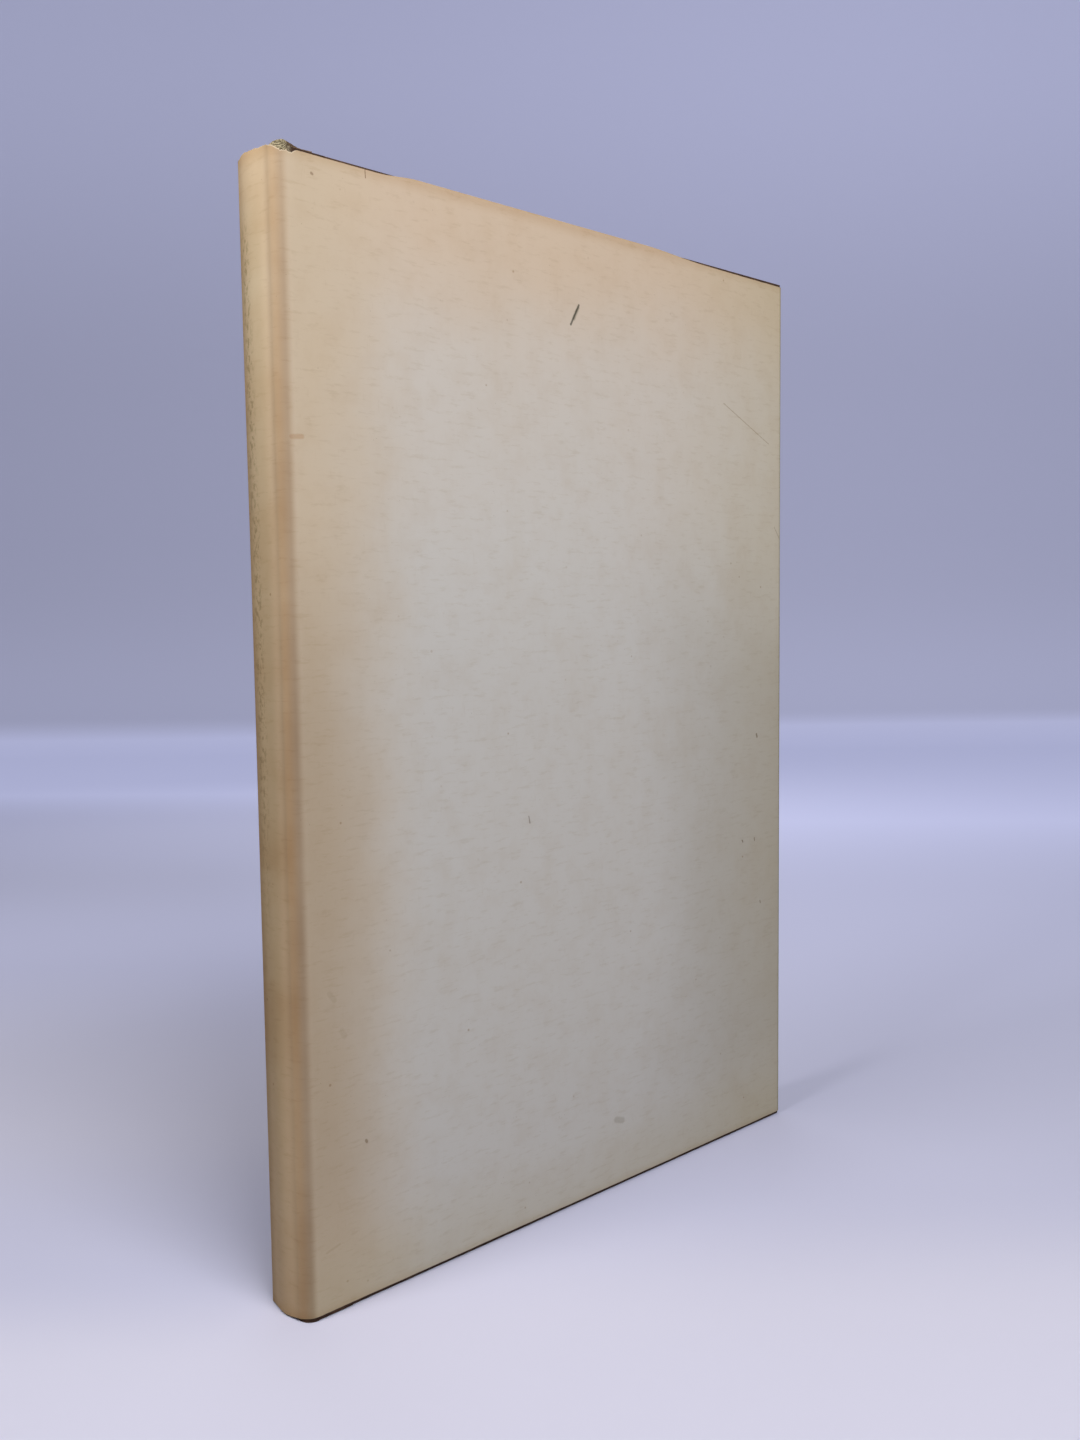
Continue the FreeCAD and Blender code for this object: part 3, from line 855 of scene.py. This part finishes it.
def jacket_relief(settings):
    """Soft waves of paper that stand off the covers, none at the joint or fore fold, and a
    bow over the spine that lies close halfway up."""

    def relief(along, height):
        from_spine = spine_distance(along)
        free = smooth(from_spine, 10 * MM, 40 * MM) * smooth(
            np.abs(from_spine - COVER_WIDTH), 1.5 * MM, 12 * MM
        )
        free = free * smooth(-from_spine, -COVER_WIDTH, 2 * MM - COVER_WIDTH)
        slow = waves(along + height * 0.3, (83 * MM, 47 * MM), (0.5, 2.1))
        upright = waves(height - along * 0.2, (120 * MM, 61 * MM), (1.2, 0.2))
        cockled = free * settings.cockle * (0.5 + 0.25 * slow + 0.25 * upright)
        rearward = 2 * MM * smooth(height, 0, Z_HEAD)
        slack = 1 - 0.9 * hump(height, 0.53 * Z_HEAD, 92 * MM)
        bow = settings.spine_bow * slack * hump(along, SPINE_MIDDLE - rearward, 6.4 * MM)
        return cockled + bow

    return relief


def make_jacket(name, corners, side, settings):
    """One part of the jacket, with distances along it counted from the front corner of the
    spine. The side is 1 where they grow along the path and -1 where they fall."""
    path = rounded_path(corners)
    points, _, lengths = path
    off_cover = np.abs(points[:, 1]) < Y_FACE - MM / 2
    here = np.argmin(np.abs(points[:, 0] - X_HINGE) + off_cover)
    at_hinge = X_HINGE - X_SPINE
    if side < 0:
        at_hinge = 2 * SPINE_MIDDLE - at_hinge
    along = at_hinge + side * (lengths - lengths[here])
    high = jacket_head(along, settings)
    low = jacket_tail(along)
    rows = end_weighted_rows(JACKET_ROWS)
    piece = sheet_solid(
        name, path, JACKET_THICKNESS, low, high, rows, along, jacket_relief(settings)
    )
    on_spine = smooth(-along, -1.5 * MM, 1.0 * MM) * smooth(along, -13 * MM, -11 * MM)
    chip = smooth(along, -3.0 * MM, -1.0 * MM) * smooth(-along, -5.6 * MM, -4.2 * MM)
    chip = np.maximum(chip, on_spine * 0.7)
    depth = (high - low)[:, None] * (1 - rows[None, :])
    torn = chip[:, None] * np.exp(-depth / TORN_REACH)
    torn = np.concatenate([torn, torn[:, ::-1]], axis=1)
    attribute = piece.data.attributes.new("torn", "FLOAT", "POINT")
    attribute.data.foreach_set("value", torn.astype(np.float32).ravel())
    return piece


def cover_corners():
    """Outer face of the front cover from its crease, in round the fore fold and along the
    flap. The travel keeps the outside on the right."""
    return [
        (CREASE_START, -Y_FACE, 0, CREASE),
        (CREASE_END, -Y_FACE, 0, COARSE),
        (X_FORE, -Y_FACE, FOLD_RADIUS, FOLD),
        (X_FORE, -Y_FLAP, FOLD_RADIUS, FOLD),
        (X_FORE - 4 * MM, -Y_FLAP, 0, COARSE),
        (X_FORE - FLAP_WIDTH, -Y_FLAP, 0, COARSE),
    ]


class BOOK_OT_jacket(bpy.types.Operator):
    """Lay the jacket over the case, as two parts that meet behind the spine"""

    bl_idname = "book.jacket"
    bl_label = "Jacket"

    def execute(self, context):
        settings = context.scene.book_jacket
        material = jacket_finish(settings)
        corners = [
            (REAR_SEAM, Y_FACE, 0, MEDIUM),
            (X_SPINE, Y_FACE, REAR_RADIUS, FINE),
            (X_SPINE, -Y_FACE, SPINE_RADIUS, FINE),
            (X_SPINE + 6.5 * MM, -Y_FACE, 0, MEDIUM),
            *cover_corners(),
        ]
        front = make_jacket("jacket_front_and_spine", corners, 1, settings)
        corners = mirrored([(REAR_SEAM, -Y_FACE, 0, MEDIUM), *cover_corners()])
        rear = make_jacket("jacket_rear_cover", corners, -1, settings)
        for piece, cover, node, side in (
            (front, "front_cover", "front_jacket", -1),
            (rear, "rear_cover", "rear_jacket", 1),
        ):
            piece.data.materials.append(material)
            start = (CREASE_START, side * Y_FACE, 0)
            side * Y_FACE
            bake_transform(piece)
            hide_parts(node, "jacket_spine")
        return {"FINISHED"}


class BOOK_OT_joints(bpy.types.Operator):
    """Carry cloth and endpaper across both joints; the cloth also spans each groove as a dark
    sheet standing in for its shade
    """

    bl_idname = "book.joints"
    bl_label = "Joints"

    def execute(self, context):
        cloth = cloth_finish(context.scene.book_cloth)
        paper = endpaper_finish("joint_endpaper", context.scene.book_leaves, 0.3)
        thin, margin = 0.09 * MM, 0.2 * MM
        cloth_reach, paper_reach = 2.2 * MM, 0.9 * MM
        y_cloth = -CLOTH_LOW.y
        inset = Z_HEAD - BLOCK_HIGH.z
        y_leaf = LEAF_OUTER - 0.03 * MM
        y_paper = y_cloth - 0.04 * MM
        step, bend = 0.14 * MM, 0.05 * MM
        wide, close = 0.3 * MM, 0.01 * MM
        crease = (CREASE_END - CREASE_START) / 20
        for side, cover in ((-1, "front_cover"), (1, "rear_cover")):
            # The cloth runs flat from the spine's corner across the groove at the cover cloth's
            # face; below the jacket's tail edge it is a dark sheet that stands in for the
            # groove's shade
            cloth_and_shade_corners = [
                (X_SPINE + 3.0 * MM, y_cloth + thin, 0, wide),
                (CREASE_START, y_cloth + thin, 0, crease),
                (CREASE_END, y_cloth + thin, 0, wide),
                (X_HINGE + cloth_reach, y_cloth + thin, 0, wide),
            ]
            paper_corners = [
                (X_HINGE - paper_reach, y_leaf, 0, wide),
                (X_HINGE - step, y_leaf, bend, close),
                (X_HINGE - step, y_paper, bend, close),
                (CREASE_START, y_paper, 0, crease),
                (CREASE_END, y_paper, 0, 0.02 * MM),
                (X_HINGE + step, y_paper, bend, close),
                (X_HINGE + step, -PASTEDOWN_HIGH.y, 0, wide),
            ]
            for name, corners, low, high, material, slot in (
                ("joint_cloth", cloth_and_shade_corners, margin, Z_HEAD - margin, cloth, "cloth"),
                ("joint_endpaper", paper_corners, inset, Z_HEAD - inset, paper, "endpaper"),
            ):
                shape = corners if side > 0 else mirrored(corners)
                points, normals, lengths = rounded_path(shape)
                path = (points, -side * normals, lengths)
                foot, top = np.full(len(points), low), np.full(len(points), high)
                rows = np.linspace(0, 1, 12)
                piece = sheet_solid(
                    f"{name}_{cover}", path, thin * 0.8, foot, top, rows, lengths
                )
                piece.data.materials.append(material)
                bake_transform(piece)
        return {"FINISHED"}


class BOOK_OT_leaves(bpy.types.Operator):
    """Build the trimmed leaves as one block with every leaf's edge showing"""

    bl_idname = "book.leaves"
    bl_label = "Leaves"

    def execute(self, context):
        settings = context.scene.book_leaves
        thickness = BLOCK_HIGH.y - BLOCK_LOW.y
        leaves = round(thickness / settings.leaf_pitch)
        steps, sections, per_side = 4, 8, 24
        y = np.linspace(BLOCK_LOW.y, BLOCK_HIGH.y, leaves * steps + 1)
        turn = (y - BLOCK_LOW.y) / thickness * leaves
        groove = np.abs(np.sin(math.pi * turn)) ** 0.6
        leaf = np.floor(np.clip(turn, 0, leaves - 0.5))
        # Sines taken at unlike steps from leaf to leaf stand in for chance.
        uneven = np.sin(leaf * 12.9898) * 0.5 + np.sin(leaf * 4.1414 + 1) * 0.5
        fold = np.abs(np.sin(math.pi * turn / leaves * sections)) ** 0.5
        relief, fold_depth = settings.leaf_relief, 0.2 * MM
        fore = BLOCK_HIGH.x + relief * (groove + uneven - 1.5)
        head = BLOCK_HIGH.z + relief * (groove + np.roll(uneven, 3) - 1.5)
        tail = BLOCK_LOW.z - relief * (groove + np.roll(uneven, 7) - 1.5)
        back = BLOCK_LOW.x + fold_depth * (1 - fold)
        outline = []
        share = np.linspace(0, 1, per_side, endpoint=False)[None, :]
        corners = ((back, tail), (fore, tail), (fore, head), (back, head))
        for i, (x, z) in enumerate(corners):
            next_x, next_z = corners[(i + 1) % 4]
            run = np.stack(
                [
                    x[:, None] + (next_x - x)[:, None] * share,
                    np.repeat(y[:, None], per_side, axis=1),
                    z[:, None] + (next_z - z)[:, None] * share,
                ],
                axis=-1,
            )
            outline.append(run)
        rings = np.concatenate(outline, axis=1)
        faces = tube_faces(len(y), rings.shape[1])
        piece = solid("trimmed_leaves", rings, faces, sharp_angle=30)
        piece.data.materials.append(leaves_finish(settings))
        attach(piece, "book_block")
        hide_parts("text_block")
        return {"FINISHED"}


def band_piece(name, z_block, direction, settings):
    """Bead of wound thread: circles along the band whose radius swells with each turn,
    R * (1 + 0.1 * |sin|), closed to a small ring at both ends."""
    radius = 0.58 * MM
    centre_x = BLOCK_LOW.x + 0.25 * MM
    centre_z = z_block + direction * radius
    half_length = (BLOCK_HIGH.y - BLOCK_LOW.y) / 2
    count, around = 220, 20
    y = np.linspace(-half_length, half_length, count)
    swell = 1 + 0.1 * np.abs(np.sin(math.pi * y / settings.band_pitch))
    near_end = ((np.abs(y) - half_length + radius) / radius).clip(0)
    rounding = np.sqrt(np.clip(1 - near_end**2, 0.02, 1))
    size = radius * swell * rounding / 1.1
    angle = np.linspace(0, 2 * math.pi, around, endpoint=False)
    slant = 0.08 * MM * np.sin(angle)[None, :]
    rings = np.stack(
        [
            centre_x + size[:, None] * np.cos(angle)[None, :],
            y[:, None] + slant,
            centre_z + size[:, None] * np.sin(angle)[None, :],
        ],
        axis=-1,
    )
    return solid(name, rings, tube_faces(count, around), sharp_angle=60)


class BOOK_OT_bands(bpy.types.Operator):
    """Wind the head and tail bands"""

    bl_idname = "book.bands"
    bl_label = "Bands"

    def execute(self, context):
        settings = context.scene.book_leaves
        material = band_finish(settings)
        for name, node, z_block, direction in (
            ("wound_head_band", "head_band", BLOCK_HIGH.z, 1),
            ("wound_tail_band", "tail_band", BLOCK_LOW.z, -1),
        ):
            piece = band_piece(name, z_block, direction, settings)
            piece.data.materials.append(material)
            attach(piece, "book_block")
            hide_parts(node)
        return {"FINISHED"}


class BOOK_OT_head_cap(bpy.types.Operator):
    """Roll the worn cloth over the head of the spine, where the jacket is torn away"""

    bl_idname = "book.head_cap"
    bl_label = "Head cap"

    def execute(self, context):
        # A flattened roll follows the spine's front corner between the cloth and the jacket.
        # Its section is an ellipse with full shoulders. Its height swells over the chip.
        settings = context.scene.book_cloth
        clearance, start, reach = 0.04 * MM, 1.5 * MM, 8.5 * MM
        inside = JACKET_THICKNESS + clearance
        x_spine, y_face = X_SPINE + inside, -Y_FACE + inside
        points, normals, lengths = rounded_path(
            [
                (x_spine, start, 0, 0.1 * MM),
                (x_spine, y_face, SPINE_RADIUS - inside, 0.08 * MM),
                (X_SPINE + reach, y_face, 0, 0.1 * MM),
            ]
        )
        along = lengths - lengths[-1] + reach
        share = lengths / lengths[-1]
        body = np.sin(math.pi * share).clip(0, 1) ** 0.35 * 0.98 + 0.02
        periods = (0.42 * MM, 0.93 * MM, 2.3 * MM)
        threads = waves(along, periods, (0.0, 1.0, 2.0))
        swell = hump(along, CHIP_MIDDLE, 4.3 * MM)
        top = Z_HEAD + (0.04 + 0.98 * swell) * MM + 0.1 * MM * threads * swell
        height = (1.5 + 0.4 * swell) * MM * body
        depth = (0.5 + 0.12 * swell) * MM * body
        around = 28
        angle = np.linspace(0, 2 * math.pi, around, endpoint=False)[None, :]
        full_cos = np.sign(np.cos(angle)) * np.abs(np.cos(angle)) ** 0.6
        ripple = 1 + 0.02 * np.sin(angle * 7 + along[:, None] / (0.14 * MM))
        out = depth[:, None] * (full_cos * ripple - 1)
        rings = np.empty((len(points), around, 3))
        rings[..., :2] = points[:, None] + normals[:, None] * out[..., None]
        rings[..., 2] = (top - height)[:, None] + height[:, None] * np.sin(angle) * ripple
        faces = tube_faces(len(points), around)
        piece = solid("worn_head_cap", rings, faces, sharp_angle=70)
        piece.data.materials.append(worn_cloth_finish(settings))
        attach(piece, "book_block")
        return {"FINISHED"}


class BOOK_OT_finishes(bpy.types.Operator):
    """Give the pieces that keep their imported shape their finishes"""

    bl_idname = "book.finishes"
    bl_label = "Finishes"

    def execute(self, context):
        cloth = cloth_finish(context.scene.book_cloth)
        endpaper = endpaper_finish("toned_endpaper", context.scene.book_leaves, 0.5)
        endpapers = ("front_endpaper", "rear_endpaper", "front_pastedown", "rear_pastedown")
        for material, names in (
            (cloth, ("spine_cloth", "front_cloth", "rear_cloth")),
            (board_finish(), ("spine_board", "front_board", "rear_board")),
            (gauze_finish(), ("mull", "front_mull_wing", "rear_mull_wing")),
            (lining_finish(), ("spine_lining",)),
            (endpaper, endpapers),
        ):
            for name in names:
                for slot in frame["nodes"][name].material_slots:
                    slot.material = material
        return {"FINISHED"}


def sweep_piece():
    """Floor that curves up into a backdrop: a flat run, a quarter circle and a wall, turned
    to face the camera."""
    width, near, reach, bend, wall = 6.0, -3.0, 1.05, 0.25, 2.5
    turn = np.linspace(0, math.pi / 2, 24)
    run = np.concatenate([[near], reach + bend * np.sin(turn), [reach + bend]])
    rise = np.concatenate([[0.0], bend * (1 - np.cos(turn)), [wall]])
    side = np.linspace(-width / 2, width / 2, 2)
    ahead, across = np.array(headings(bpy.context.scene.book_stage.camera_yaw))[:, :2]
    grid = np.empty((len(run), 2, 3))
    grid[..., :2] = run[:, None, None] * ahead + side[None, :, None] * across
    grid[..., 2] = rise[:, None]
    row = np.arange(len(run) - 1)
    faces = np.stack([row * 2, row * 2 + 1, row * 2 + 3, row * 2 + 2], axis=-1)
    mesh = bpy.data.meshes.new("sweep")
    mesh.from_pydata(grid.reshape(-1, 3), [], faces)
    mesh.shade_smooth()
    return add_object("sweep", mesh)


def lamp(name, place, target, size, energy, color):
    """Square area lamp that faces its target."""
    light = bpy.data.lights.new(name, "AREA")
    light.shape = "SQUARE"
    light.size = size
    light.energy = energy
    light.color = color
    holder = add_object(name, light)
    heading = Vector(target) - Vector(place)
    turned = heading.to_track_quat("-Z", "Y").to_matrix().to_4x4()
    holder.matrix_world = Matrix.Translation(place) @ turned


class BOOK_OT_stage(bpy.types.Operator):
    """Set the sweep, the lamps and the camera"""

    bl_idname = "book.stage"
    bl_label = "Stage"

    def execute(self, context):
        settings = context.scene.book_stage
        sweep = sweep_piece()
        sweep.data.materials.append(stage_finish(settings))
        white, warm = (1.0, 0.985, 0.96), (1.0, 0.97, 0.93)
        key, fill, back = settings.key_power, settings.fill_power, settings.back_power
        lamp("key_over_book", (-0.12, -0.43, 0.54), (0.0, 0.0, 0.15), 0.34, key, white)
        lamp("fill_on_spine", (-0.34, 0.0, 0.45), (-0.08, 0.0, 0.18), 0.15, fill, warm)
        lamp("lamp_behind", (0.3, 0.48, 0.5), (0.0, 0.0, 0.14), 0.6, back, white)
        world = bpy.data.worlds.new("room")
        world.use_nodes = True
        background = world.node_tree.nodes["Background"]
        background.inputs["Color"].default_value = linear(250, 250, 255)
        background.inputs["Strength"].default_value = settings.world_strength
        context.scene.world = world

        yaw, pitch, roll = settings.camera_yaw, settings.camera_pitch, settings.camera_roll
        level = math.cos(pitch)
        ahead = Vector((math.sin(yaw) * level, math.cos(yaw) * level, -math.sin(pitch)))
        right = Vector(headings(yaw)[1])
        up = right.cross(ahead)
        leaned_right = right * math.cos(roll) + up * math.sin(roll)
        leaned_up = up * math.cos(roll) - right * math.sin(roll)
        turned = Matrix((leaned_right, leaned_up, -ahead)).transposed().to_4x4()
        data = bpy.data.cameras.new("camera")
        data.lens = settings.camera_lens
        data.sensor_width = FILM_SIDE
        data.clip_start = 0.01
        camera = add_object("camera", data)
        camera.matrix_world = Matrix.Translation(settings.camera_place) @ turned
        context.scene.camera = camera
        context.scene.view_settings.view_transform = "Standard"
        return {"FINISHED"}


class BOOK_PT_panel(bpy.types.Panel):
    """Lists the book's settings and steps"""

    bl_label = "Book"
    bl_space_type = "VIEW_3D"
    bl_region_type = "UI"
    bl_category = "Book"

    def draw(self, context):
        for title, group in SETTINGS.items():
            box = self.layout.box()
            box.label(text=title)
            values = getattr(context.scene, group[0])
            for key in group[1].__annotations__:
                box.prop(values, key)
        for step in STEPS:
            self.layout.operator(step.bl_idname)


SETTINGS = {
    "Jacket": ("book_jacket", JacketSettings),
    "Cloth": ("book_cloth", ClothSettings),
    "Leaves": ("book_leaves", LeavesSettings),
    "Stage": ("book_stage", StageSettings),
}
STEPS = (
    BOOK_OT_jacket,
    BOOK_OT_joints,
    BOOK_OT_leaves,
    BOOK_OT_bands,
    BOOK_OT_head_cap,
    BOOK_OT_finishes,
    BOOK_OT_stage,
)
CLASSES = (*[group[1] for group in SETTINGS.values()], *STEPS, BOOK_PT_panel)


def register():
    for made in CLASSES:
        bpy.utils.register_class(made)
    for name, group in SETTINGS.values():
        setattr(bpy.types.Scene, name, bpy.props.PointerProperty(type=group))


def unregister():
    for name, _ in SETTINGS.values():
        delattr(bpy.types.Scene, name)
    for made in reversed(CLASSES):
        bpy.utils.unregister_class(made)


def main():
    """Runs every step in order."""
    register()
    for step in STEPS:
        group, name = step.bl_idname.split(".")
        getattr(getattr(bpy.ops, group), name)()


if __name__ == "__main__":
    main()
